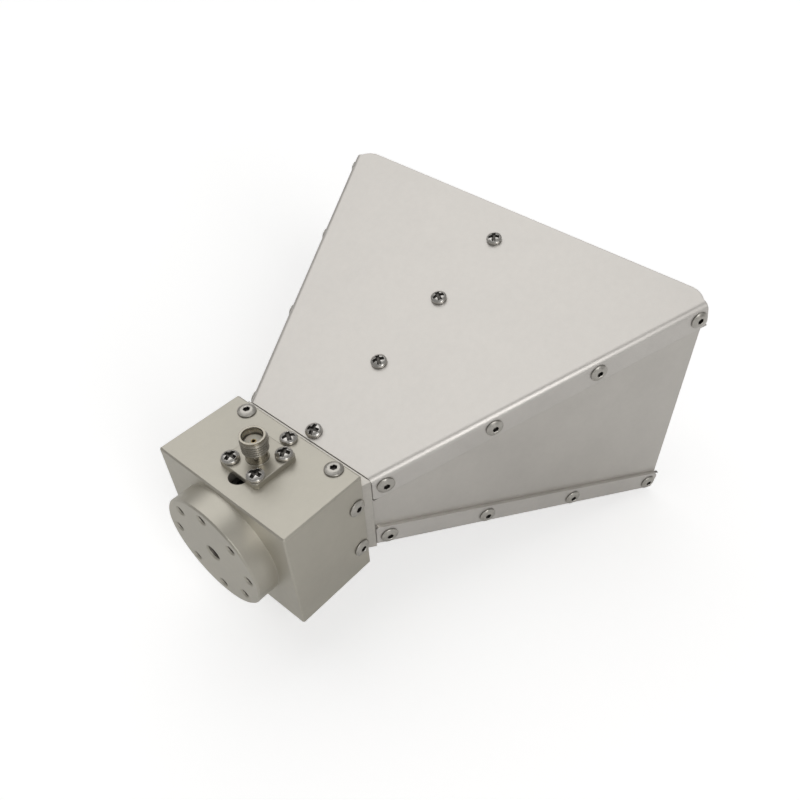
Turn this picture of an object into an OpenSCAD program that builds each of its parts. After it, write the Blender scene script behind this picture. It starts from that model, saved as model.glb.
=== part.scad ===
// Double-ridged broadband horn antenna: machined feed block, throat frame, two folded
// covers, two side panels, two tapered ridges and a coaxial flange jack, all screwed up.
// X runs along the boresight, Z is up, and the origin is the middle of the mounting face.

/* [Feed block] */
// Width of the feed block across Y
block_w = 43; // [42:0.5:60]
// Height of the feed block
block_h = 34; // [33:0.5:48]
// Length of the feed block along the boresight, without its rear boss
block_l = 24; // [24:0.5:36]
// Diameter of the round rear boss
boss_d = 31.5; // [30:0.5:40]
// Thickness of the rear boss
boss_t = 6; // [5:0.5:12]
// Width of the waveguide channel
guide_w = 28.8; // [26:0.2:30]
// Height of the waveguide channel
guide_h = 18.2; // [17:0.2:19]

/* [Mounting pattern] */
// Diameter of the circle that the mounting holes lie on
bolt_circle_d = 25; // [22:0.5:26]
// Number of mounting holes
bolt_count = 8; // [4:1:8]
// Drilled diameter of a mounting hole, tapped M3
bolt_hole_d = 2.5; // [2:0.1:3.4]
// Drilled diameter of the centre hole, tapped M5
centre_hole_d = 4.2; // [3.3:0.1:5]

/* [Horn] */
// Outside width of the horn where its walls would meet the block
neck_w = 40.6; // [40:0.2:42]
// Outside height of the horn where its walls would meet the block
neck_h = 24.3; // [23:0.1:26]
// Outside width of the horn at the aperture
aperture_w = 125; // [100:1:150]
// Outside height of the horn at the aperture
aperture_h = 73.4; // [60:0.2:90]
// Length of the horn from the block to the front edge of its covers
horn_l = 89.3; // [80:0.5:120]
// Thickness of the folded cover sheet
sheet_t = 1; // [0.8:0.1:1.5]
// Outside radius of the fold along each cover edge
fold_r = 2; // [1.6:0.1:3]
// Height of the folded flange, measured down from the sharp fold line
flange_h = 7.2; // [6.5:0.1:10]
// Thickness of a side panel
panel_t = 2.5; // [2:0.1:3]
// Corner radius at the front of a cover
cover_corner_r = 6; // [3:0.5:8]

/* [Ridges] */
// Thickness of a ridge across Y
ridge_t = 6; // [5:0.5:8]
// Gap between the two ridges at the feed
ridge_gap = 1.4; // [1:0.1:2]
// Depth that is left on a ridge at its front end
ridge_tip = 3; // [2:0.5:6]

/* [Coaxial jack] */
// Side of the square jack flange
jack_flange_w = 12.7; // [12.7:0.1:13]
// Thickness of the jack flange
jack_flange_t = 1.6; // [1.4:0.1:2]
// Spacing of the jack flange screws
jack_pitch = 8.6; // [8.4:0.05:8.7]
// Outside diameter of the jack thread, quarter inch
jack_thread_d = 6.35; // [6:0.05:6.5]
// Length of the jack thread
jack_thread_l = 5; // [4:0.1:6]
// Height of the jack mouth over the block
jack_h = 8.9; // [8.5:0.1:11]
// Diameter of the centre contact
contact_d = 1.27; // [1.2:0.01:1.4]

/* [Screws] */
// Shank diameter of the screws, M2.5
screw_d = 2.5; // [2:0.1:2.6]
// Head diameter of the domed cross-recess screws
pan_d = 4.3; // [4:0.1:4.8]
// Head height of the domed cross-recess screws
pan_h = 1.6; // [1.3:0.1:2]
// Head diameter of the low hexagon-socket screws
low_d = 4.7; // [4.4:0.1:5]
// Head height of the low hexagon-socket screws
low_h = 1.35; // [1.2:0.05:1.6]
// Number of ridge screws along each cover
cover_screws = 4; // [3:1:6]
// Number of screws along each flange
flange_screws = 4; // [3:1:6]

/* [Hidden] */

$fn = 64;

// Clearance round a screw shank, and the wider one in a piece that is only clamped
shank_gap = 0.05;
clamp_gap = 0.15;
// Space left between two machined or folded faces that slide together
slip = 0.03;
// Joint line between the throat frame's rim and the ends of the sheets
joint = 0.2;
// Film between a screw's head and what it clamps
seat = 0.02;
// Small edge break on machined outside edges
edge_break = 0.4;
// How far a cutter runs past the face that it opens
past = 1;

// Feed block along X
block_x0 = boss_t;
block_x1 = boss_t + block_l;
back_wall = 3.5;
guide_x0 = block_x0 + back_wall;
jack_x = block_x0 + block_l / 2;
bolt_depth = 7;
centre_depth = 8;
countersink = 0.35;

// Throat frame: the block's wall round its plug, the plug, the rim and the nose
plug_wall = 3;
plug_l = 5.2;
plug_w = block_w - 2 * plug_wall;
plug_h = block_h - 2 * plug_wall;
plug_x0 = block_x1 - plug_l;
rim_l = 2.6;
nose_x1 = block_x1 + 10;
nose_feather = 4;
nose_edge = 0.4;
// Screws through the block's walls into the plug, beside and below the channel's corners
frame_screw_x = block_x1 - plug_l / 2;
frame_screw_y = guide_w / 2 + 0.7;
frame_screw_z = guide_h / 2 - 1.2;

// Slopes of the horn: tan_plan across the width, tan_side across the height
tan_plan = (aperture_w - neck_w) / 2 / horn_l;
tan_side = (aperture_h - neck_h) / 2 / horn_l;
plan_a = atan(tan_plan);
side_a = atan(tan_side);
// Elevation of a fold line, and its length for each millimetre of X
fold_rise = atan(tan_side * cos(plan_a));
fold_k = sqrt(1 + tan_plan * tan_plan + tan_side * tan_side);
// Tilt of the roof across the fold line, seen along that line
roof_tilt = asin(sin(side_a) * sin(plan_a));
// Distance from the sharp fold line to where the bend starts, the same on both legs
bend_run = fold_r * (1 - sin(roof_tilt)) / cos(roof_tilt);
fold_steps = 16;
// Radius of the flange corners, and the step from the bend to the cover's front corner
flange_corner_r = 2;
corner_step = 0.3;
// Half angle of the cover in its own plane
sheet_a = atan(tan_plan * cos(side_a));

// Sheets along X
sheet_x0 = block_x1 + rim_l + joint;
front_x = block_x1 + horn_l;
flange_x1 = front_x - 3;
panel_x1 = front_x - 1.8;
// Stack of a flange and a side panel, and spare stock that is cut square at both ends
side_stack = sheet_t + panel_t + 2 * slip;
stock = 15;

// Screw places: the covers' centre lines, and the flanges
cover_screw_x0 = sheet_x0 + 2.4;
cover_screw_x1 = front_x - 11.4;
flange_screw_x0 = sheet_x0 + 2.3;
flange_screw_x1 = flange_x1 - 2.4;
flange_drop = 3.7;

// Ridges along X
ridge_x0 = guide_x0;
shorting_x = jack_x - 3;
foot_z = 5;
taper_x0 = block_x1 + 2;
ridge_x1 = panel_x1 - 1.5;
taper_linear = 0.02;
taper_steps = 40;

// Jack heights over the boresight
jack_z0 = block_h / 2;
jack_z1 = jack_z0 + jack_h;
jack_face_z = jack_z1 - 1.9;
jack_edge = 0.35;
insulator_d = 4.1;
airline_d = 2.9;
contact_foot = 3.5;
socket_depth = 2.8;

// Screw lengths under the head, and the run of a tapped hole past its screw
jack_screw_l = 6;
cover_screw_l = 6;
frame_screw_l = 2 * plug_wall;
flange_screw_l = sheet_t + panel_t - 0.1;
neck_screw_l = side_stack + 1.4;
ridge_screw_l = block_h / 2 - foot_z;
tap_run = 0.4;

// Counterbored cap screw in each ridge's foot
cap_screw_x = block_x0 + 6.1;
cap_screw_l = 6;
cap_head_d = 4.5;
cap_head_h = 2.5;
cap_bore_d = 5;
cap_web = 2.9;
cap_bore_z = guide_h / 2 + cap_web;

// Outside half width and half height of the horn walls at x
function half_w(x) = neck_w / 2 + (x - block_x1) * tan_plan;
function half_h(x) = neck_h / 2 + (x - block_x1) * tan_side;
// The same for the inside of the covers and panels
function inner_w(x) = half_w(x) - side_stack / cos(plan_a);
function inner_h(x) = half_h(x) - (sheet_t + slip) / cos(side_a);
// Half width and half height of the passage through the throat frame
function throat_w(x) = guide_w / 2 + (x - block_x1) * tan_plan;
function throat_h(x) = guide_h / 2 + (x - block_x1) * tan_side;
// Places of count screws from a to b
function spread(a, b, count) = [for (i = [0 : count - 1]) a + (b - a) * i / (count - 1)];

// ---- shapes that several sub-parts share ----

// Box centred on Y and Z that starts at x0, with its edges broken
module broken_box(x0, size, c) {
    translate([x0 + size[0] / 2, 0, 0])
        hull() {
            cube([size[0], size[1] - 2 * c, size[2] - 2 * c], center = true);
            cube([size[0] - 2 * c, size[1], size[2] - 2 * c], center = true);
            cube([size[0] - 2 * c, size[1] - 2 * c, size[2]], center = true);
        }
}

// Four-sided flare from x0 to x1 with the given half widths and half heights at its ends
module flare(x0, x1, w, h) {
    intersection() {
        linear_extrude(2 * max(h) + 2 * past, center = true)
            polygon([[x0, -w[0]], [x1, -w[1]], [x1, w[1]], [x0, w[0]]]);
        rotate([90, 0, 0])
            linear_extrude(2 * max(w) + 2 * past, center = true)
                polygon([[x0, -h[0]], [x1, -h[1]], [x1, h[1]], [x0, h[0]]]);
    }
}

// Frame on the upper right fold line: X along the fold, Y inward, Z up in the flange plane
module on_fold(x) {
    translate([x, -half_w(x), half_h(x)])
        rotate([0, 0, -plan_a])
            rotate([0, -fold_rise, 0])
                children();
}

// Runs a section along the upper right fold line; the section's x is inward, its y is up
module along_fold(x0, x1) {
    on_fold(x0)
        rotate([90, 0, 90])
            linear_extrude((x1 - x0) * fold_k)
                children();
}

// Frame on the middle of the upper cover: X up the slope, Z out of the sheet
module on_roof(x) {
    translate([x, 0, half_h(x)])
        rotate([0, -side_a, 0])
            children();
}

// Repeats a shape above and below, left and right, or in all four corners
module above_below() {
    children();
    mirror([0, 0, 1]) children();
}
module left_right() {
    children();
    mirror([0, 1, 0]) children();
}

// Ridge screws of one cover, and the screws of one flange, as places with Z outward
module at_cover_screws() {
    for (x = spread(cover_screw_x0, cover_screw_x1, cover_screws))
        on_roof(x) children();
}
module at_flange_screw(x) {
    on_fold(x)
        translate([0, 0, -flange_drop])
            rotate([90, 0, 0])
                children();
}
module at_flange_screws(first = 0) {
    places = spread(flange_screw_x0, flange_screw_x1, flange_screws);
    for (i = [first : flange_screws - 1])
        at_flange_screw(places[i]) children();
}
module at_jack_screws() {
    for (sx = [-1, 1], sy = [-1, 1])
        translate([jack_x + sx * jack_pitch / 2, sy * jack_pitch / 2, 0])
            children();
}
// Screws through the block walls into the plug: two on top and two on the right
module at_frame_screws_top() {
    for (sy = [-1, 1])
        translate([frame_screw_x, sy * frame_screw_y, block_h / 2]) children();
}
module at_frame_screws_side() {
    for (sz = [-1, 1])
        translate([frame_screw_x, -block_w / 2, sz * frame_screw_z])
            rotate([90, 0, 0]) children();
}

// Hole for a shank, cut downward from z = 0
module shank_hole(depth, gap) {
    translate([0, 0, -depth])
        cylinder(d = screw_d + 2 * gap, h = depth + past, $fn = 32);
}

// Shank of a screw below z = 0, run into its head
module shank(length, into_head) {
    translate([0, 0, -length])
        cylinder(d = screw_d, h = length + into_head, $fn = 32);
}

// Domed screw with a cross recess; its head sits just over z = 0
module pan_screw(length) {
    crown = pan_h * 0.65;
    dome_r = (pan_d * pan_d / 4 + crown * crown) / 2 / crown;
    slot = [pan_d * 0.56, 0.56, past];
    recess = pan_h / 2;
    difference() {
        union() {
            intersection() {
                translate([0, 0, seat]) cylinder(d = pan_d, h = pan_h, $fn = 48);
                translate([0, 0, pan_h - dome_r]) sphere(dome_r, $fn = 64);
            }
            shank(length, pan_h / 2);
        }
        for (turn = [0, 90])
            rotate([0, 0, turn])
                translate([-slot[0] / 2, -slot[1] / 2, pan_h - recess]) cube(slot);
    }
}

// Low round screw with a hexagon socket; its head sits just over z = 0
module low_screw(length) {
    socket_d = 1.75;
    socket_h = low_h * 2 / 3;
    difference() {
        union() {
            rotate_extrude($fn = 48) low_head_section();
            shank(length, low_h / 2);
        }
        translate([0, 0, low_h - socket_h])
            cylinder(d = socket_d, h = socket_h + past, $fn = 6);
    }
}
// Half section of the low head: flat top, rounded shoulder, short straight rim
module low_head_section() {
    shoulder = low_h * 0.55;
    difference() {
        translate([0, seat]) square([low_d / 2, low_h - seat]);
        translate([low_d / 2 - shoulder, low_h - shoulder])
            difference() {
                square(shoulder + past);
                circle(shoulder, $fn = 48);
            }
    }
}

// Socket cap screw that sits in a counterbore
module cap_screw(length) {
    socket_d = 2.3;
    socket_h = cap_head_h / 2;
    difference() {
        union() {
            translate([0, 0, seat]) cylinder(d = cap_head_d, h = cap_head_h - seat, $fn = 48);
            shank(length, cap_head_h / 4);
        }
        translate([0, 0, cap_head_h - socket_h])
            cylinder(d = socket_d, h = socket_h + past, $fn = 6);
    }
}

// ---- feed block ----

module feed_block() {
    color([0.72, 0.70, 0.66])
        difference() {
            union() {
                broken_box(block_x0, [block_l, block_w, block_h], edge_break);
                rear_boss();
            }
            // waveguide channel, and the pocket for the throat frame
            translate([guide_x0, -guide_w / 2, -guide_h / 2])
                cube([block_l, guide_w, guide_h]);
            translate([plug_x0, -plug_w / 2, -plug_h / 2])
                cube([plug_l + past, plug_w, plug_h]);
            mounting_holes();
            above_below() {
                ridge_screw_holes();
                at_frame_screws_top() shank_hole(plug_wall + past, clamp_gap);
            }
            left_right()
                at_frame_screws_side() shank_hole(plug_wall + past, clamp_gap);
            jack_holes();
        }
}

// Round boss with a broken front edge; it runs into the block so that the two are one
module rear_boss() {
    rotate([0, 90, 0])
        rotate_extrude($fn = 128)
            polygon([[0, 0], [boss_d / 2 - edge_break, 0], [boss_d / 2, edge_break],
                [boss_d / 2, boss_t + past], [0, boss_t + past]]);
}

// Blind tapped hole from the mounting face, with a small countersink
module face_hole(d, depth) {
    rotate([0, 90, 0]) {
        translate([0, 0, -past]) cylinder(d = d, h = depth + past, $fn = 48);
        translate([0, 0, -past])
            cylinder(d1 = d + 2 * countersink + 2 * past, d2 = d, h = countersink + past, $fn = 48);
    }
}

module mounting_holes() {
    for (i = [0 : bolt_count - 1])
        rotate([i * 360 / bolt_count, 0, 0])
            translate([0, bolt_circle_d / 2, 0])
                face_hole(bolt_hole_d, bolt_depth);
    face_hole(centre_hole_d, centre_depth);
}

// Counterbored hole for the screw in a ridge's foot, and the hole for the one in front
module ridge_screw_holes() {
    translate([cap_screw_x, 0, cap_bore_z]) {
        cylinder(d = cap_bore_d, h = block_h, $fn = 48);
        shank_hole(cap_web + past, clamp_gap);
    }
    translate([frame_screw_x, 0, block_h / 2])
        shank_hole(plug_wall + past, clamp_gap);
}

// Tapped holes for the jack's screws, and the bore for its insulator
module jack_holes() {
    translate([0, 0, jack_z0])
        at_jack_screws() shank_hole(jack_screw_l - jack_flange_t + tap_run, shank_gap);
    translate([jack_x, 0, 0])
        cylinder(d = insulator_d + 2 * slip, h = block_h, $fn = 48);
}

// ---- throat frame ----

module throat_frame() {
    rim_x1 = block_x1 + rim_l;
    color([0.74, 0.72, 0.68])
        difference() {
            union() {
                translate([plug_x0 + slip, -plug_w / 2 + slip, -plug_h / 2 + slip])
                    cube([plug_l - slip, plug_w - 2 * slip, plug_h - 2 * slip]);
                flare(block_x1, rim_x1, [half_w(block_x1), half_w(rim_x1)],
                    [half_h(block_x1), half_h(rim_x1)]);
                flare(block_x1, nose_x1, [inner_w(block_x1), inner_w(nose_x1)],
                    [inner_h(block_x1), inner_h(nose_x1)]);
            }
            throat_passage();
            above_below() {
                at_frame_screws_top() shank_hole(frame_screw_l + tap_run, shank_gap);
                translate([frame_screw_x, 0, block_h / 2])
                    shank_hole((block_h - guide_h) / 2 + past, clamp_gap);
                at_cover_screws() shank_hole(cover_screw_l, clamp_gap);
            }
            left_right() {
                at_frame_screws_side() shank_hole(frame_screw_l + tap_run, shank_gap);
                above_below()
                    at_flange_screw(flange_screw_x0) shank_hole(neck_screw_l + past, shank_gap);
            }
        }
}

// Passage through the frame: straight in the plug, flared in the nose, feathered at its end
module throat_passage() {
    x_feather = nose_x1 - nose_feather;
    translate([plug_x0 - past, -guide_w / 2, -guide_h / 2])
        cube([plug_l + past, guide_w, guide_h]);
    flare(block_x1, nose_x1 + past, [throat_w(block_x1), throat_w(nose_x1 + past)],
        [throat_h(block_x1), throat_h(nose_x1 + past)]);
    flare(x_feather, nose_x1, [throat_w(x_feather), inner_w(nose_x1) - nose_edge],
        [throat_h(x_feather), inner_h(nose_x1) - nose_edge]);
}

// ---- folded covers ----

// Points of an arc about a centre, from angle a0 to a1
function arc(centre, r, a0, a1) =
    [for (i = [0 : fold_steps])
        let (a = a0 + (a1 - a0) * i / fold_steps) centre + r * [cos(a), sin(a)]];

// Section across the fold: flange leg, round bend and a roof leg that runs past the middle
module fold_section() {
    centre = [fold_r, -bend_run];
    top_a = 90 + roof_tilt;
    roof_end = aperture_w * [cos(roof_tilt), sin(roof_tilt)];
    polygon(concat([[0, -flange_h]], arc(centre, fold_r, 180, top_a),
        [roof_end, roof_end - sheet_t * [cos(top_a), sin(top_a)]],
        arc(centre, fold_r - sheet_t, top_a, 180), [[sheet_t, -flange_h]]));
}

// Tool that rounds a corner of the given angle at the origin, with one edge along x
module corner_tool(r, angle) {
    run = r / tan(angle / 2);
    difference() {
        polygon([[0, 0], [run, 0], [run, r], [run * cos(angle), run * sin(angle)]]);
        translate([run, r]) circle(r);
    }
}

// Right half of the upper cover: roof, bend and flange in one sheet, with round corners
module half_cover() {
    difference() {
        intersection() {
            along_fold(sheet_x0 - stock, front_x + stock) fold_section();
            translate([sheet_x0, -aperture_w, -aperture_h])
                cube([horn_l * 2, aperture_w, aperture_h * 2]);
            cover_limits();
        }
        on_fold(flange_x1)
            translate([0, sheet_t + past, -flange_h])
                rotate([90, -90, 0])
                    linear_extrude(sheet_t + 2 * past)
                        corner_tool(flange_corner_r, 90);
        on_fold(sheet_x0)
            translate([-flange_h * tan(fold_rise), sheet_t + past, -flange_h])
                rotate([90, 0, 0])
                    linear_extrude(sheet_t + 2 * past)
                        corner_tool(flange_corner_r, 90 + fold_rise);
    }
}

// What the right half sheet is cut to: square across the flange and its bend, and past that
// a straight front edge whose round corner starts on the same cut, just inside the bend
module cover_limits() {
    r = cover_corner_r;
    inset = bend_run + corner_step;
    front_s = (front_x - sheet_x0) / cos(side_a);
    cut_s = (flange_x1 - sheet_x0) / cos(side_a);
    corner_s = cut_s + inset * sin(sheet_a);
    corner_y = half_w(flange_x1) - inset * cos(sheet_a);
    centre_y = corner_y - sqrt(r * r - pow(corner_s - front_s + r, 2));
    intersection() {
        on_fold(flange_x1)
            translate([-2 * horn_l, -aperture_w, -aperture_h])
                cube([2 * horn_l, 3 * aperture_w, 2 * aperture_h]);
        on_roof(sheet_x0)
            translate([-stock, -aperture_w, -aperture_h])
                cube([stock + (corner_s + front_s) / 2, 2 * aperture_w, 2 * aperture_h]);
    }
    on_roof(sheet_x0)
        linear_extrude(4 * sheet_t, center = true) {
            translate([front_s - r, -centre_y]) circle(r, $fn = 96);
            translate([front_s - 2 * r, -centre_y]) square([2 * r, centre_y + past]);
        }
}

module cover(tone) {
    color(tone)
        difference() {
            left_right() half_cover();
            at_cover_screws() shank_hole(2 * sheet_t, clamp_gap);
            left_right()
                at_flange_screws() shank_hole(2 * sheet_t, clamp_gap);
        }
}

module upper_cover() { cover([0.80, 0.78, 0.74]); }
module lower_cover() { mirror([0, 0, 1]) cover([0.78, 0.76, 0.72]); }

// ---- side panels ----

// Section of a panel's edge region under the fold: it meets the roof and clears the bend
module panel_section() {
    y0 = sheet_t + slip;
    y1 = y0 + panel_t;
    roof = -(sheet_t + slip) / cos(roof_tilt);
    bevel = fold_r - sheet_t - 0.3;
    polygon([[y0, -2 * aperture_h], [y1, -2 * aperture_h], [y1, roof + y1 * tan(roof_tilt)],
        [y0 + bevel, roof + (y0 + bevel) * tan(roof_tilt)], [y0, roof - bevel]]);
}

module right_panel() {
    color([0.77, 0.75, 0.71])
        difference() {
            intersection() {
                along_fold(sheet_x0 - stock, front_x + stock) panel_section();
                mirror([0, 0, 1])
                    along_fold(sheet_x0 - stock, front_x + stock) panel_section();
                translate([sheet_x0, -aperture_w, -aperture_h])
                    cube([panel_x1 - sheet_x0, aperture_w, 2 * aperture_h]);
            }
            above_below()
                at_flange_screws() shank_hole(side_stack + past, shank_gap);
        }
}
module left_panel() { mirror([0, 1, 0]) right_panel(); }

// ---- ridges ----

// Exponential taper of a ridge's free edge, with a small linear share
function taper_z(x) =
    let (reach = ridge_x1 - taper_x0,
        z1 = inner_h(ridge_x1) - ridge_tip - taper_linear * reach,
        k = ln(z1 * 2 / ridge_gap) / reach)
    ridge_gap / 2 * exp(k * (x - taper_x0)) + taper_linear * (x - taper_x0);

// Side view of the upper ridge: foot and step behind the feed, straight feed, taper, back
module ridge_outline() {
    x_feather = nose_x1 - nose_feather;
    polygon(concat(
        [[ridge_x0, foot_z], [shorting_x, foot_z], [shorting_x, ridge_gap / 2]],
        [for (x = spread(taper_x0, ridge_x1, taper_steps + 1)) [x, taper_z(x)]],
        [[ridge_x1, inner_h(ridge_x1)], [nose_x1, inner_h(nose_x1)],
            [nose_x1, inner_h(nose_x1) - nose_edge], [x_feather, throat_h(x_feather)],
            [block_x1, guide_h / 2], [ridge_x0, guide_h / 2]]));
}

module ridge_body() {
    difference() {
        rotate([90, 0, 0])
            linear_extrude(ridge_t, center = true) ridge_outline();
        translate([cap_screw_x, 0, cap_bore_z])
            shank_hole(cap_screw_l + tap_run, shank_gap);
        translate([frame_screw_x, 0, block_h / 2])
            shank_hole(ridge_screw_l + tap_run, shank_gap);
        at_cover_screws() shank_hole(cover_screw_l + tap_run, shank_gap);
    }
}

module upper_ridge() {
    color([0.76, 0.74, 0.70])
        difference() {
            ridge_body();
            translate([jack_x, 0, 0]) cylinder(d = airline_d, h = block_h, $fn = 48);
        }
}
module lower_ridge() {
    color([0.74, 0.72, 0.68])
        difference() {
            mirror([0, 0, 1]) ridge_body();
            translate([jack_x, 0, -ridge_gap / 2 - contact_foot])
                cylinder(d = contact_d + 2 * slip, h = block_h / 2, $fn = 32);
        }
}

// ---- coaxial jack ----

module jack_body() {
    neck_d = jack_thread_d - 0.9;
    bevel = jack_edge;
    thread_z0 = jack_h - jack_thread_l;
    mouth_d = insulator_d + 0.55;
    color([0.82, 0.80, 0.74])
        translate([jack_x, 0, jack_z0])
            difference() {
                union() {
                    translate([-jack_flange_w / 2, -jack_flange_w / 2, 0])
                        cube([jack_flange_w, jack_flange_w, jack_flange_t]);
                    rotate_extrude($fn = 96)
                        polygon([[0, 0], [neck_d / 2, 0], [neck_d / 2, thread_z0],
                            [jack_thread_d / 2 - bevel, thread_z0],
                            [jack_thread_d / 2, thread_z0 + bevel],
                            [jack_thread_d / 2, jack_h - bevel],
                            [jack_thread_d / 2 - bevel, jack_h], [0, jack_h]]);
                }
                translate([0, 0, -past])
                    cylinder(d = insulator_d + 2 * slip, h = jack_h + 2 * past, $fn = 48);
                translate([0, 0, jack_face_z - jack_z0])
                    cylinder(d = mouth_d, h = jack_h, $fn = 48);
                translate([0, 0, jack_h - bevel])
                    cylinder(d1 = mouth_d, d2 = mouth_d + 4 * bevel, h = 2 * bevel, $fn = 48);
                translate([-jack_x, 0, jack_flange_t])
                    at_jack_screws() shank_hole(2 * jack_flange_t, shank_gap);
            }
}

module jack_insulator() {
    color([0.93, 0.92, 0.88])
        translate([jack_x, 0, guide_h / 2])
            difference() {
                cylinder(d = insulator_d, h = jack_face_z - guide_h / 2, $fn = 48);
                translate([0, 0, -past])
                    cylinder(d = contact_d + 2 * slip, h = block_h, $fn = 32);
            }
}

module jack_contact() {
    foot = -ridge_gap / 2 - contact_foot;
    color([0.85, 0.68, 0.30])
        translate([jack_x, 0, foot])
            difference() {
                cylinder(d = contact_d, h = jack_face_z - foot, $fn = 32);
                translate([0, 0, jack_face_z - foot - socket_depth])
                    cylinder(d = contact_d * 0.74, h = socket_depth + past, $fn = 32);
            }
}

// ---- screws ----

steel = [0.78, 0.78, 0.76];

module jack_screws() {
    color(steel)
        translate([0, 0, jack_z0 + jack_flange_t])
            at_jack_screws() pan_screw(jack_screw_l);
}
module upper_cover_screws() {
    color(steel) at_cover_screws() pan_screw(cover_screw_l);
}
module lower_cover_screws() { mirror([0, 0, 1]) upper_cover_screws(); }

module upper_ridge_screw() {
    color(steel)
        translate([frame_screw_x, 0, block_h / 2]) pan_screw(ridge_screw_l);
}
module lower_ridge_screw() { mirror([0, 0, 1]) upper_ridge_screw(); }

module ridge_cap_screws() {
    color(steel)
        above_below()
            translate([cap_screw_x, 0, cap_bore_z]) cap_screw(cap_screw_l);
}
module frame_screws() {
    color(steel) {
        above_below() at_frame_screws_top() low_screw(frame_screw_l);
        left_right() at_frame_screws_side() low_screw(frame_screw_l);
    }
}
module right_flange_screws() {
    color(steel)
        above_below() at_flange_screws(first = 1) low_screw(flange_screw_l);
}
module left_flange_screws() { mirror([0, 1, 0]) right_flange_screws(); }

module right_neck_screws() {
    color(steel)
        above_below() at_flange_screw(flange_screw_x0) low_screw(neck_screw_l);
}
module left_neck_screws() { mirror([0, 1, 0]) right_neck_screws(); }

feed_block();
throat_frame();
jack_body();
jack_insulator();
jack_contact();
upper_ridge();
lower_ridge();
upper_cover();
lower_cover();
left_panel();
right_panel();
jack_screws();
upper_cover_screws();
lower_cover_screws();
upper_ridge_screw();
lower_ridge_screw();
ridge_cap_screws();
frame_screws();
left_flange_screws();
right_flange_screws();
left_neck_screws();
right_neck_screws();
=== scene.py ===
import math
import random

import bmesh
import bpy
import numpy as np
from mathutils import Matrix, Vector


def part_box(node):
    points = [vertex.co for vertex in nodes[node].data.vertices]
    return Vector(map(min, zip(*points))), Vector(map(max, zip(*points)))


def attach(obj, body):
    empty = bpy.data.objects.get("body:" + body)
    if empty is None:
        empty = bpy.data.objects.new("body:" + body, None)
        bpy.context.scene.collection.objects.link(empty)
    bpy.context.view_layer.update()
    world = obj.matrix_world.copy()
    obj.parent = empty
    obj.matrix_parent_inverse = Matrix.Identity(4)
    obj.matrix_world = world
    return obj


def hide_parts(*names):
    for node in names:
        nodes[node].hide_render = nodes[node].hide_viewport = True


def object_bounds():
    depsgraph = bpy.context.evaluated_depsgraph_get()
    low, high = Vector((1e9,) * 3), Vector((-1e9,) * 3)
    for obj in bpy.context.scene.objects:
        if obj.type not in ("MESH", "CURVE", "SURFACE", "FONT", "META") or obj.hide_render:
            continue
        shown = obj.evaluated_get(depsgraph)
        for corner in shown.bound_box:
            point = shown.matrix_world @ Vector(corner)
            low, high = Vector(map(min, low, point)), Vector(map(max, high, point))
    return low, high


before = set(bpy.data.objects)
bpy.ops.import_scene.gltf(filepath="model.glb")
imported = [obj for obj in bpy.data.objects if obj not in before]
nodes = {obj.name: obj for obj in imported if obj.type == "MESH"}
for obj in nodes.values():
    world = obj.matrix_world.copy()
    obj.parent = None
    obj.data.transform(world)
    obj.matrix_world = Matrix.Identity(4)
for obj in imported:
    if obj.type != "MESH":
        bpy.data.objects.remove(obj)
cad_lo, cad_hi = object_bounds()
scene = bpy.context.scene
MM = 0.001
rng = random.Random(7)


# ---------------------------------------------------------------- shader help

class Tree:
    """Short calls for building a node material."""

    def __init__(self, name):
        self.mat = bpy.data.materials.new(name)
        self.mat.use_nodes = True
        self.t = self.mat.node_tree
        self.t.nodes.clear()
        self.out = self.t.nodes.new("ShaderNodeOutputMaterial")

    def add(self, kind, inputs=None, **props):
        n = self.t.nodes.new("ShaderNode" + kind)
        for k, v in props.items():
            setattr(n, k, v)
        for k, v in (inputs or {}).items():
            self.put(n.inputs[k], v)
        return n

    def put(self, socket, v):
        if isinstance(v, bpy.types.NodeSocket):
            self.t.links.new(v, socket)
        elif isinstance(v, bpy.types.Node):
            self.t.links.new(v.outputs[0], socket)
        elif socket.type == "RGBA" and len(v) == 3:
            socket.default_value = (*v, 1)
        else:
            socket.default_value = v

    def math(self, op, a, b=0.0, clamp=False):
        n = self.add("Math", {0: a, 1: b}, operation=op)
        n.use_clamp = clamp
        return n.outputs[0]

    def remap(self, v, a, b, c, d):
        n = self.add("MapRange", {0: v, 1: a, 2: b, 3: c, 4: d})
        return n.outputs[0]

    def mix(self, fac, a, b):
        n = self.add("Mix", data_type="RGBA")
        self.put(n.inputs[0], fac)
        self.put(n.inputs[6], a)
        self.put(n.inputs[7], b)
        return n.outputs[2]

    def coords(self, scale=(1, 1, 1), turn=(0, 0, 0)):
        tc = self.add("TexCoord")
        m = self.add("Mapping", {"Vector": tc.outputs["Object"],
                                 "Scale": [s / MM for s in scale], "Rotation": turn})
        return m.outputs[0]

    def noise(self, vec, scale, detail=2.0, rough=0.5):
        n = self.add("TexNoise", {"Vector": vec, "Scale": scale, "Detail": detail,
                                  "Roughness": rough})
        return n.outputs["Fac"]

    def finish(self, **sockets):
        p = self.add("BsdfPrincipled")
        for k, v in sockets.items():
            self.put(p.inputs[k.replace("_", " ")], v)
        self.t.links.new(p.outputs[0], self.out.inputs[0])
        return self.mat


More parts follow.
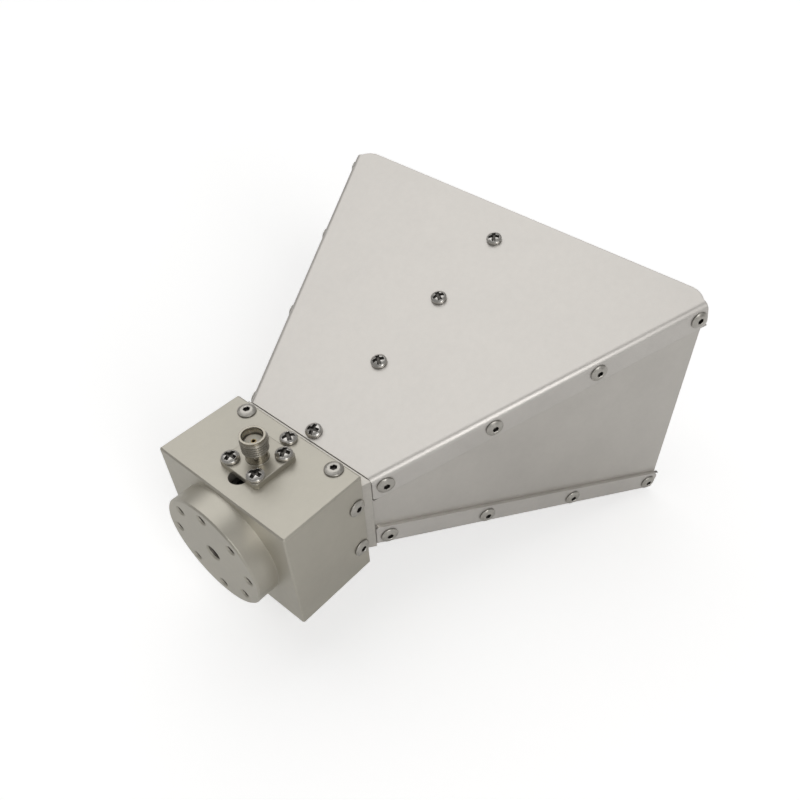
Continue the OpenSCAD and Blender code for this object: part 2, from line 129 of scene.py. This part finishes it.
def satin(name, base, metallic=0.75, rough=0.42, cloud=0.05, streak=None, edge_highlight_strength=0.25, bevel=0.25):
    """Bead-blasted, clear-anodised aluminium: fine grain, faint clouds, and a painted highlight that
    lightens the colour along its edges, where roughness is also lower.
    """
    t = Tree(name)
    mm = t.coords()
    fine = t.noise(mm, 5.5, 3.0, 0.6)
    mid = t.noise(mm, 0.55, 3.0, 0.55)
    large = t.noise(mm, 0.06, 2.0, 0.5)
    smooth = t.add("Bevel", {"Radius": bevel * MM}, samples=6)
    geo = t.add("NewGeometry")
    dot = t.add("VectorMath", {0: smooth.outputs[0], 1: geo.outputs["Normal"]},
                operation="DOT_PRODUCT").outputs["Value"]
    # painted highlight: a mask along the bevelled edges that lightens the colour there and lowers
    # roughness
    edge_highlight = t.remap(dot, 0.99, 0.82, 0.0, 1.0)
    edge_highlight = t.math("MULTIPLY", edge_highlight, t.remap(mid, 0.35, 0.65, 0.35, 1.0), clamp=True)
    tone = t.math("ADD", t.remap(large, 0.3, 0.7, 1 - cloud, 1 + cloud),
                  t.remap(mid, 0.3, 0.7, -0.35 * cloud, 0.35 * cloud))
    grain = t.remap(fine, 0.25, 0.75, 0.97, 1.03)
    if streak:
        lines = t.noise(t.coords(streak), 1.0, 3.0, 0.6)
        grain = t.math("MULTIPLY", grain, t.remap(lines, 0.3, 0.7, 0.965, 1.035))
    shade = t.math("MULTIPLY", tone, grain)
    col = t.add("VectorMath", {0: list(base), 3: shade}, operation="SCALE").outputs[0]
    # the lighter colour of the painted highlight, mixed in along the edges
    light = [min(1.0, c * 1.18 + 0.03) for c in base]
    col = t.mix(t.math("MULTIPLY", edge_highlight, edge_highlight_strength), col, light)
    r = t.math("ADD", t.remap(fine, 0.3, 0.7, rough - 0.03, rough + 0.03),
               t.remap(large, 0.3, 0.7, -0.03, 0.03))
    r = t.math("SUBTRACT", r, t.math("MULTIPLY", edge_highlight, 0.10))
    if streak:
        r = t.math("ADD", r, t.remap(lines, 0.3, 0.7, -0.03, 0.03))
        height = t.math("ADD", t.math("MULTIPLY", fine, 0.5), lines)
    else:
        height = fine
    bump = t.add("Bump", {"Strength": 0.25, "Distance": 0.012 * MM, "Height": height,
                          "Normal": smooth.outputs[0]})
    return t.finish(Base_Color=col, Metallic=metallic, Roughness=r, Normal=bump.outputs[0])


def turned(name, base, metallic=1.0, rough=0.22, hollow_shade=0.35, axis_lines=None, bevel=0.06):
    """Bright turned or rolled metal with painted shade, found by ambient occlusion, that darkens its
    hollows, as on screws and the jack.
    """
    t = Tree(name)
    mm = t.coords()
    fine = t.noise(mm, 9.0, 3.0, 0.6)
    mid = t.noise(mm, 1.6, 3.0, 0.55)
    # painted shade: ambient occlusion darkens the colour in hollows and also roughens them
    ao = t.add("AmbientOcclusion", {"Distance": 0.7 * MM}, samples=8)
    hollow_shade_mask = t.remap(ao.outputs["AO"], 0.35, 0.95, 1.0, 0.0)
    hollow_shade_mask = t.math("MULTIPLY", hollow_shade_mask, hollow_shade, clamp=True)
    # the colour of the painted shade in hollows
    dark = [c * 0.16 for c in base]
    shade = t.math("MULTIPLY", t.remap(fine, 0.3, 0.7, 0.95, 1.05),
                   t.remap(mid, 0.3, 0.7, 0.93, 1.07))
    col = t.add("VectorMath", {0: list(base), 3: shade}, operation="SCALE").outputs[0]
    col = t.mix(hollow_shade_mask, col, dark)
    r = t.math("ADD", t.remap(mid, 0.3, 0.7, rough - 0.05, rough + 0.05),
               t.math("MULTIPLY", hollow_shade_mask, 0.35))
    smooth = t.add("Bevel", {"Radius": bevel * MM}, samples=4)
    height = fine
    if axis_lines:
        height = t.math("ADD", fine, t.noise(t.coords(axis_lines), 1.0, 2.0, 0.5))
    bump = t.add("Bump", {"Strength": 0.2, "Distance": 0.01 * MM, "Height": height,
                          "Normal": smooth.outputs[0]})
    return t.finish(Base_Color=col, Metallic=metallic, Roughness=r, Normal=bump.outputs[0])


def plastic(name, base, rough=0.45):
    t = Tree(name)
    n = t.noise(t.coords(), 3.0, 3.0, 0.6)
    col = t.add("VectorMath", {0: list(base), 3: t.remap(n, 0.3, 0.7, 0.96, 1.03)},
                operation="SCALE").outputs[0]
    bump = t.add("Bump", {"Strength": 0.15, "Distance": 0.01 * MM, "Height": n})
    return t.finish(Base_Color=col, Roughness=t.remap(n, 0.3, 0.7, rough - 0.06, rough + 0.06),
                    Normal=bump.outputs[0], Subsurface_Weight=0.1, Subsurface_Scale=0.5 * MM)


COVER = satin("cover_satin", (0.66, 0.635, 0.60), cloud=0.035)
PANEL = satin("panel_satin", (0.64, 0.615, 0.575), cloud=0.035)
BLOCK = satin("block_satin", (0.53, 0.505, 0.44), cloud=0.04)
FRAME = satin("throat_satin", (0.60, 0.575, 0.53), cloud=0.05, streak=(0.2, 1.6, 1.6))
RIDGE = satin("ridge_satin", (0.60, 0.575, 0.535), cloud=0.05, streak=(0.05, 2.0, 2.0))
STEEL = turned("screw_steel", (0.62, 0.60, 0.57), rough=0.24, hollow_shade=0.75)
NICKEL = turned("jack_nickel", (0.44, 0.41, 0.35), rough=0.26, hollow_shade=0.9)
SATIN_NICKEL = satin("flange_nickel", (0.47, 0.445, 0.385), metallic=0.85, rough=0.4)
LOW_STEEL = turned("low_head_steel", (0.52, 0.50, 0.46), rough=0.36, hollow_shade=0.8)
# painted shade: a near-black steel colour laid on the faces of screw sockets and cross recesses
SOCKET_SHADE = turned("recess_painted_shade", (0.13, 0.122, 0.112), rough=0.42, hollow_shade=0.6)
# painted shade: a near-black colour on the thread crests, so the tapped holes read as shaded inside
TAPPED_HOLE_SHADE = turned("tapped_hole_painted_shade", (0.17, 0.155, 0.135), rough=0.3, hollow_shade=0.7)
BLACKED = turned("blackened_steel", (0.10, 0.095, 0.09), rough=0.4, hollow_shade=0.5)
GOLD = turned("contact_gold", (0.46, 0.36, 0.20), rough=0.3, hollow_shade=0.8)
PTFE = plastic("jack_ptfe", (0.56, 0.53, 0.46))


def dress(node, mat):
    o = nodes[node]
    o.data.materials.clear()
    o.data.materials.append(mat)


for n, m in {"feed_block": BLOCK, "throat_frame": FRAME, "upper_cover": COVER,
             "lower_cover": COVER, "left_panel": PANEL, "right_panel": PANEL,
             "upper_ridge": RIDGE, "lower_ridge": RIDGE, "jack_insulator": PTFE,
             "jack_contact": GOLD, "jack_body": NICKEL, "jack_screws": STEEL,
             "upper_cover_screws": STEEL, "lower_cover_screws": STEEL,
             "upper_ridge_screw": STEEL, "lower_ridge_screw": STEEL,
             "ridge_cap_screws": BLACKED, "frame_screws": STEEL,
             "left_flange_screws": STEEL, "right_flange_screws": STEEL,
             "left_neck_screws": STEEL, "right_neck_screws": STEEL}.items():
    dress(n, m)

# ---------------------------------------------------------------- detailed pieces

SEGMENTS = 96


def circle(r):
    """Ring radius for every angle of a round section, in millimetres."""
    return lambda a: r


def polygon_ring(apothem, sides):
    """Ring radius of a regular polygon that is given by its half width across flats."""
    step = 2 * math.pi / sides
    return lambda a: apothem / math.cos((a + step / 2) % step - step / 2)


def lathe(bm, rings, place, z_of=None, close_ends=True):
    """Skins rings of (radius function, height) in millimetres and returns its first face's index."""
    loops = []
    for radius, z in rings:
        loop = []
        for i in range(SEGMENTS):
            a = 2 * math.pi * i / SEGMENTS
            r = radius(a)
            x, y = r * math.cos(a), r * math.sin(a)
            loop.append(bm.verts.new(place @ Vector((x, y, z_of(x, y, z) if z_of else z))))
        loops.append(loop)
    first = len(bm.faces)
    pairs = list(zip(loops, loops[1:]))
    if not close_ends:
        pairs.append((loops[-1], loops[0]))
    for a, b in pairs:
        for i in range(SEGMENTS):
            j = (i + 1) % SEGMENTS
            bm.faces.new((a[i], a[j], b[j], b[i]))
    if close_ends:
        bm.faces.new(loops[0][::-1])
        bm.faces.new(loops[-1])
    return first


def piece(name, bm, mat, slot, *stands_for):
    """Makes one scene piece that rides on the root and stands for the named CAD nodes."""
    bmesh.ops.recalc_face_normals(bm, faces=bm.faces)
    me = bpy.data.meshes.new(name)
    bm.to_mesh(me)
    bm.free()
    me.materials.append(mat)
    me.shade_smooth()
    me.set_sharp_from_angle(angle=math.radians(32))
    o = bpy.data.objects.new(name, me)
    scene.collection.objects.link(o)
    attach(o, "root")
    if stands_for:
        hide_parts(*stands_for)
    return o


def paint(o, mat, where):
    """Gives the faces whose index is in the set where a second material."""
    o.data.materials.append(mat)
    for f in o.data.polygons:
        if f.index in where:
            f.material_index = 1


def screws_of(node):
    """Every screw of a CAD node as (matrix with Z out of the head, head radius, length)."""
    bm = bmesh.new()
    bm.from_mesh(nodes[node].data)
    bmesh.ops.remove_doubles(bm, verts=bm.verts, dist=1e-7)
    todo = set(bm.verts)
    found = []
    while todo:
        stack = [next(iter(sorted(todo, key=lambda v: v.index)))]
        island = set(stack)
        while stack:
            for e in stack.pop().link_edges:
                for v in e.verts:
                    if v not in island:
                        island.add(v)
                        stack.append(v)
        todo -= island
        faces = {f for v in island for f in v.link_faces}
        spread = sum(f.calc_area() * np.outer(f.normal, f.normal) for f in faces)
        values, vectors = np.linalg.eigh(spread)
        odd = 0 if values[1] - values[0] > values[2] - values[1] else 2
        axis = Vector(vectors[:, odd])
        mid = sum((f.calc_area() * f.calc_center_median() for f in faces), Vector())
        mid /= sum(f.calc_area() for f in faces)
        along = [(v.co - mid).dot(axis) for v in island]
        out = [((v.co - mid) - axis * t).length for v, t in zip(island, along)]
        rim = [t for t, r in zip(along, out) if r > 0.97 * max(out)]
        if max(along) - max(rim) > min(rim) - min(along):
            axis, along, rim = -axis, [-t for t in along], [-t for t in rim]
        seat = mid + axis * min(rim)
        place = axis.to_track_quat("Z", "Y").to_matrix().to_4x4()
        place.translation = seat
        found.append((place @ Matrix.Scale(MM, 4), max(out) / MM,
                      (min(rim) - min(along)) / MM))
    bm.free()
    found.sort(key=lambda s: tuple(round(c, 5) for c in s[0].translation))
    return found


SHANK_R = 1.24
TIP_BEVEL = 0.35


def shank_rings(length):
    """Threaded shank from under the head to its bevelled tip."""
    rings = [(circle(SHANK_R), 0.0)]
    pitch = 0.45
    z = -0.6
    while z - pitch > -length + TIP_BEVEL:
        rings += [(circle(SHANK_R), z), (circle(SHANK_R - 0.22), z - pitch / 2)]
        z -= pitch
    return rings + [(circle(SHANK_R), -length + TIP_BEVEL), (circle(SHANK_R - 0.3), -length)]


def low_screws(node):
    """Low bevelled heads, each with a hexagon socket coloured with painted shade, and a rolled rim.
    """
    bm = bmesh.new()
    height, rim, face_r, depth = 0.85, 0.36, 1.45, 0.95
    hexagon = 0.76
    dark = set()
    for place, head_r, length in screws_of(node):
        turn = Matrix.Rotation(rng.uniform(0, math.pi), 4, "Z")
        soft = 0.06
        rings = [(polygon_ring(0.08, 6), height - depth - 0.2),
                 (polygon_ring(hexagon, 6), height - depth),
                 (polygon_ring(hexagon, 6), height - 0.09),
                 (polygon_ring(hexagon + 0.09, 6), height),
                 (circle(face_r), height - 0.01), (circle(face_r + 0.1), height - 0.04),
                 (circle(head_r - 2 * soft), rim + soft), (circle(head_r - soft / 2), rim),
                 (circle(head_r), rim - soft), (circle(head_r), 0.12),
                 (circle(head_r - 0.12), 0.0)]
        rings += shank_rings(length)
        first = lathe(bm, rings, place @ turn)
        # the socket's floor and walls, and the face that closes its middle, get painted shade
        dark |= set(range(first, first + 2 * SEGMENTS))
        dark.add(first + (len(rings) - 1) * SEGMENTS)
    o = piece(node + "_detail", bm, LOW_STEEL, "screw_steel", node)
    paint(o, SOCKET_SHADE, dark)
    return o


def pan_screws(node):
    """Domed heads with a tapered cross recess that narrows with depth."""
    bm = bmesh.new()
    dark = set()
    height, rim = 1.55, 0.8
    for place, head_r, length in screws_of(node):
        turn = Matrix.Rotation(rng.uniform(0, math.pi / 2), 4, "Z")
        crown = height - rim
        dome_r = (head_r ** 2 + crown ** 2) / (2 * crown)

        def recess(x, y, z):
            wing = min(abs(x), abs(y))
            reach = max(abs(x), abs(y))
            side = max(0.0, min(1.0, (0.52 - wing) / 0.12))
            end = max(0.0, min(1.0, (1.58 - reach) / 0.16))
            return z - (1.05 - 0.35 * reach) * side * end

        radii = [0.02 + 1.66 * i / 32 for i in range(33)]
        rings = [(circle(r), height - dome_r + math.sqrt(dome_r ** 2 - r ** 2)) for r in radii]
        for i in range(1, 9):
            r = radii[-1] + (head_r - 0.05 - radii[-1]) * i / 8
            rings.append((circle(r), height - dome_r + math.sqrt(dome_r ** 2 - r ** 2)))
        rings += [(circle(head_r), rim - 0.08), (circle(head_r), 0.15),
                  (circle(head_r - 0.12), 0.0)]
        first = lathe(
            bm, rings + shank_rings(length), place @ turn,
            lambda x, y, z: recess(x, y, z) if math.hypot(x, y) < radii[-1] and z > 0.6 else z)
        # the faces of the cross recess are gathered here to get painted shade
        for ring, r in enumerate(radii[:-1]):
            for i in range(SEGMENTS):
                a = 2 * math.pi * (i + 0.5) / SEGMENTS
                x, y = abs(r * math.cos(a)), abs(r * math.sin(a))
                if min(x, y) < 0.49 and max(x, y) < 1.5:
                    dark.add(first + ring * SEGMENTS + i)
    o = piece(node + "_detail", bm, STEEL, "screw_steel", node)
    paint(o, SOCKET_SHADE, dark)
    return o


def jack():
    """Square flange and threaded barrel of the jack, in one turned and milled piece."""
    lo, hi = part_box("jack_body")
    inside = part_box("jack_insulator")
    bore = (inside[1].x - inside[0].x) / 2 / MM + 0.02
    half = (hi.x - lo.x) / 2 / MM
    top = (hi.z - lo.z) / MM
    face = (inside[1].z - lo.z) / MM
    flange, soft, neck, crest, root = 1.6, 0.12, 2.7, 3.17, 2.80
    pitch = 0.706
    square, top_square = (
        lambda a, h=h: min(polygon_ring(h, 4)(a), 1.34 * h) for h in (half, half - soft))
    rings = [(circle(bore), 0.0), (square, 0.0),
             (square, flange - soft), (top_square, flange),
             (circle(neck + 0.08), flange), (circle(neck), flange + 0.08)]
    z = top - 4.5
    rings += [(circle(neck), z), (circle(root), z + 0.05)]
    while z + pitch < top - 0.35:
        rings += [(circle(crest), z + 0.30), (circle(crest), z + 0.42), (circle(root), z + pitch)]
        z += pitch
    mouth = bore + 0.36
    rings += [(circle(root), top - 0.3), (circle(crest - 0.14), top), (circle(mouth + 0.1), top),
              (circle(mouth), top - 0.2), (circle(mouth), face), (circle(bore), face)]
    bm = bmesh.new()
    place = Matrix.Translation(((lo.x + hi.x) / 2, 0, lo.z)) @ Matrix.Scale(MM, 4)
    lathe(bm, rings, place, close_ends=False)
    o = piece("jack_barrel", bm, NICKEL, "jack_nickel", "jack_body")
    paint(o, SATIN_NICKEL, set(range(4 * SEGMENTS)))
    return o


def tapped(name, centres, hole_r, depth, pitch):
    """Thread crests inside blind holes that open on the mounting face, coloured as painted shade
    inside the holes.
    """
    bm = bmesh.new()
    turn = Matrix.Rotation(math.pi / 2, 4, "Y")
    for y, z in centres:
        outer, inner = hole_r - 0.004, hole_r - 0.2
        rings = [(circle(outer), depth), (circle(outer), 0.45)]
        x = 0.45
        while x + pitch < depth:
            rings += [(circle(inner), x + pitch / 2), (circle(outer - 0.01), x + pitch)]
            x += pitch
        place = Matrix.Translation(Vector((cad_lo.x, y * MM, z * MM))) @ turn
        lathe(bm, rings, place @ Matrix.Scale(MM, 4), close_ends=False)
    return piece(name, bm, TAPPED_HOLE_SHADE, "block_aluminium")


for n in ("frame_screws", "left_flange_screws", "right_flange_screws", "left_neck_screws",
          "right_neck_screws"):
    low_screws(n)
for n in ("jack_screws", "upper_cover_screws", "lower_cover_screws", "upper_ridge_screw",
          "lower_ridge_screw"):
    pan_screws(n)
jack()
BOLT_CIRCLE_R = 12.5
BOLTS = 8
bolt_angles = [k * 2 * math.pi / BOLTS for k in range(BOLTS)]
tapped("mount_threads", [(BOLT_CIRCLE_R * math.cos(a), BOLT_CIRCLE_R * math.sin(a))
                         for a in bolt_angles], hole_r=1.25, depth=6.8, pitch=0.5)
tapped("centre_thread", [(0, 0)], hole_r=2.1, depth=7.8, pitch=0.8)

# ---------------------------------------------------------------- camera

cam_data = bpy.data.cameras.new("camera")
cam = bpy.data.objects.new("camera", cam_data)
scene.collection.objects.link(cam)
right = Vector((0.62386, -0.78116, 0.02409))
down = Vector((-0.56874, -0.47493, -0.67155))
ahead = Vector((0.53603, 0.40525, -0.74057))
eye = Vector((-46.968, -107.689, 148.079)) * MM
cam.matrix_world = Matrix.Translation(eye) @ Matrix((
    (right.x, -down.x, -ahead.x, 0), (right.y, -down.y, -ahead.y, 0),
    (right.z, -down.z, -ahead.z, 0), (0, 0, 0, 1)))
cam_data.sensor_width = 36
cam_data.lens = 33.905
cam_data.shift_x = -0.0744
cam_data.shift_y = 0.0775
cam_data.clip_start = 0.005
cam_data.clip_end = 20
scene.camera = cam

# ---------------------------------------------------------------- floor, lamps and world

floor_mesh = bpy.data.meshes.new("floor")
bm = bmesh.new()
bmesh.ops.create_circle(bm, cap_ends=True, radius=6, segments=64)
bm.to_mesh(floor_mesh)
bm.free()
floor = bpy.data.objects.new("floor", floor_mesh)
floor.location = (0, 0, cad_lo.z - 0.0002)
scene.collection.objects.link(floor)
ft = Tree("floor")
lit = ft.add("BsdfDiffuse", {"Color": (0.80, 0.80, 0.80), "Roughness": 1.0})
path = ft.add("LightPath")
seen = ft.math("MAXIMUM", path.outputs["Is Camera Ray"], path.outputs["Is Glossy Ray"])
seen = ft.math("MAXIMUM", seen, path.outputs["Is Transmission Ray"])
# the floor glows a little in reflections, and more where the camera sees it, to read as white
GLOW_REFLECTED, GLOW_SEEN = 0.10, 0.38
strength = ft.math("MULTIPLY", seen, GLOW_REFLECTED)
strength = ft.math("ADD", strength,
                   ft.math("MULTIPLY", path.outputs["Is Camera Ray"], GLOW_SEEN))
glow = ft.add("Emission", {"Color": (1, 1, 1), "Strength": strength})
both = ft.add("AddShader")
ft.t.links.new(lit.outputs[0], both.inputs[0])
ft.t.links.new(glow.outputs[0], both.inputs[1])
ft.t.links.new(both.outputs[0], ft.out.inputs[0])
floor_mesh.materials.append(ft.mat)


def lamp(name, energy, size, place, aim=(0.06, 0, 0), color=(1, 1, 1)):
    d = bpy.data.lights.new(name, "AREA")
    d.shape = "RECTANGLE"
    d.size, d.size_y = size
    d.energy = energy
    d.color = color
    o = bpy.data.objects.new(name, d)
    o.location = place
    o.rotation_euler = (Vector(aim) - Vector(place)).to_track_quat("-Z", "Y").to_euler()
    scene.collection.objects.link(o)


lamp("key", 12.5, (2.1, 2.0), (0.35, 0.72, 1.5))
lamp("strip", 3.6, (0.35, 0.9), (-0.28, -0.95, 0.72))
lamp("fill", 1.6, (1.2, 1.0), (-0.9, -1.0, 0.9))

world = bpy.data.worlds.new("studio")
scene.world = world
world.use_nodes = True
wt = world.node_tree
wt.nodes["Background"].inputs[0].default_value = (1.0, 0.99, 0.97, 1)
wt.nodes["Background"].inputs[1].default_value = 0.30
# the camera sees a white backdrop past the floor's edge
white = wt.nodes.new("ShaderNodeBackground")
white.inputs[0].default_value = (1, 1, 1, 1)
white.inputs[1].default_value = 0.93
choose = wt.nodes.new("ShaderNodeMixShader")
camera_ray = wt.nodes.new("ShaderNodeLightPath").outputs["Is Camera Ray"]
wt.links.new(camera_ray, choose.inputs[0])
wt.links.new(wt.nodes["Background"].outputs[0], choose.inputs[1])
wt.links.new(white.outputs[0], choose.inputs[2])
wt.links.new(choose.outputs[0], wt.nodes["World Output"].inputs[0])
scene.view_settings.view_transform = "Standard"
